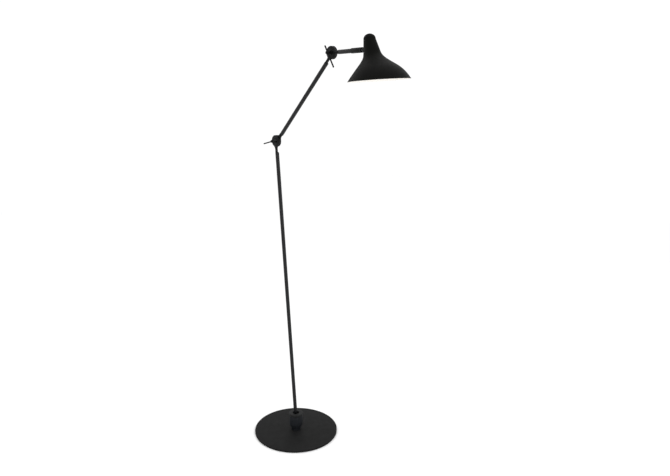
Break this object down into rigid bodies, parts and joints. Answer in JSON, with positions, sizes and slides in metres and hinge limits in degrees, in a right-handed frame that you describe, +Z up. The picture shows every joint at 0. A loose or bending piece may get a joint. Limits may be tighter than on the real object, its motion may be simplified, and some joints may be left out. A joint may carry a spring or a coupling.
{
  "type": "adjustable arm floor lamp",
  "caption": "Floor lamp with a round base, a leaning pole on a ball joint, two clamped knuckle joints and a peaked swivelling shade.",
  "frame": {"origin": "on the floor under the centre of the round base, at the underside of its felt pad", "axes": "+Z up; +X horizontal in the plane of the arms, towards the shade; +Y to the side away from the clamp screws"},
  "size_m": [0.6196, 0.3, 1.3962],
  "materials": {
    "plate_coat": "fine matte black powder coat on steel plate",
    "felt": "dense black felt",
    "zinc_screws": "bright zinc-plated steel",
    "socket_coat": "matte black powder coat",
    "gland_rubber": "matte black rubber",
    "spring_steel": "spring steel",
    "ring_coat": "matte black powder coat",
    "nylon": "natural nylon",
    "ball_steel": "turned steel",
    "tube_coat": "satin black powder coat",
    "knuckle_coat": "satin black powder coat",
    "flex_sheath": "black PVC sheath",
    "fibre_ring": "dark fibre",
    "screw_black": "black-finished steel",
    "sleeve_coat": "satin black powder coat",
    "saddle_coat": "satin black powder coat",
    "shade_coat": "matte black powder coat outside, white enamel inside",
    "bracket_zinc": "zinc-plated strip",
    "holder_ceramic": "glazed ceramic",
    "contact_brass": "brass",
    "cap_nickel": "nickel-plated brass",
    "bulb_glass": "frosted lit glass, warm white"
  },
  "bodies": {
    "base": {"base_plate": "plate_coat", "base_pad": "felt", "base_screws": "zinc_screws", "socket_cup": "socket_coat", "cable_gland": "gland_rubber", "wave_washer": "spring_steel", "retaining_ring": "ring_coat"},
    "seat": {"ball_seat": "nylon"},
    "ball": {"pole_ball": "ball_steel"},
    "pole": {"foot_stud": "zinc_screws", "foot_nut": "zinc_screws", "pole_tube": "tube_coat", "pole_knuckle": "knuckle_coat", "pole_flex": "flex_sheath"},
    "upper_arm": {"elbow_friction_ring": "fibre_ring", "arm_lower_knuckle": "knuckle_coat", "upper_arm_tube": "tube_coat", "arm_upper_knuckle": "knuckle_coat", "arm_flex": "flex_sheath", "elbow_nut": "screw_black", "wrist_nut": "screw_black", "wrist_friction_ring": "fibre_ring"},
    "elbow_clamp": {"elbow_screw": "screw_black", "elbow_screw_washer": "screw_black", "elbow_t_bar": "screw_black"},
    "wrist_clamp": {"wrist_screw": "screw_black", "wrist_screw_washer": "screw_black", "wrist_t_bar": "screw_black"},
    "head_arm": {"head_knuckle": "knuckle_coat", "head_arm_tube": "tube_coat", "swivel_spindle": "zinc_screws", "spindle_clip": "spring_steel", "head_flex": "flex_sheath"},
    "head": {"swivel_sleeve": "sleeve_coat", "sleeve_cap": "sleeve_coat", "shade_nipple": "zinc_screws", "shade_saddle": "saddle_coat", "shade": "shade_coat", "shade_nut": "zinc_screws", "holder_bracket": "bracket_zinc", "holder_nipple": "zinc_screws", "holder_nut": "zinc_screws", "lamp_holder": "holder_ceramic", "holder_contact": "contact_brass", "holder_leads": "flex_sheath", "bulb_cap": "cap_nickel", "bulb_glass": "bulb_glass"}
  },
  "joints": [
    {"name": "lean_heading", "type": "hinge", "parent": "base", "child": "seat", "pos_m": [0, 0, 0.048], "axis": [0, 0, 1], "range_deg": [-170, 170]},
    {"name": "pole_lean", "type": "hinge", "parent": "seat", "child": "ball", "pos_m": [0, 0, 0.048], "axis": [0, 1, 0], "range_deg": [-4.8, 15.2]},
    {"name": "pole_spin", "type": "hinge", "parent": "ball", "child": "pole", "pos_m": [0, 0, 0.048], "axis": [-0.0906, 0, 0.9959], "range_deg": [-170, 170]},
    {"name": "elbow", "type": "hinge", "parent": "pole", "child": "upper_arm", "pos_m": [-0.09172, 0, 1.05584], "axis": [0, 1, 0], "range_deg": [-165, 75]},
    {"name": "elbow_clamp_turn", "type": "hinge", "parent": "upper_arm", "child": "elbow_clamp", "pos_m": [-0.09172, 0, 1.05584], "axis": [0, 1, 0], "range_deg": [-20, 340]},
    {"name": "wrist", "type": "hinge", "parent": "upper_arm", "child": "head_arm", "pos_m": [0.18275, 0, 1.34405], "axis": [0, 1, 0], "range_deg": [-158, 75]},
    {"name": "wrist_clamp_turn", "type": "hinge", "parent": "upper_arm", "child": "wrist_clamp", "pos_m": [0.18275, 0, 1.34405], "axis": [0, 1, 0], "range_deg": [-20, 340]},
    {"name": "head_swivel", "type": "hinge", "parent": "head_arm", "child": "head", "pos_m": [0.18275, 0, 1.34405], "axis": [0.9982, 0, 0.0593], "range_deg": [-160, 160]}
  ]
}
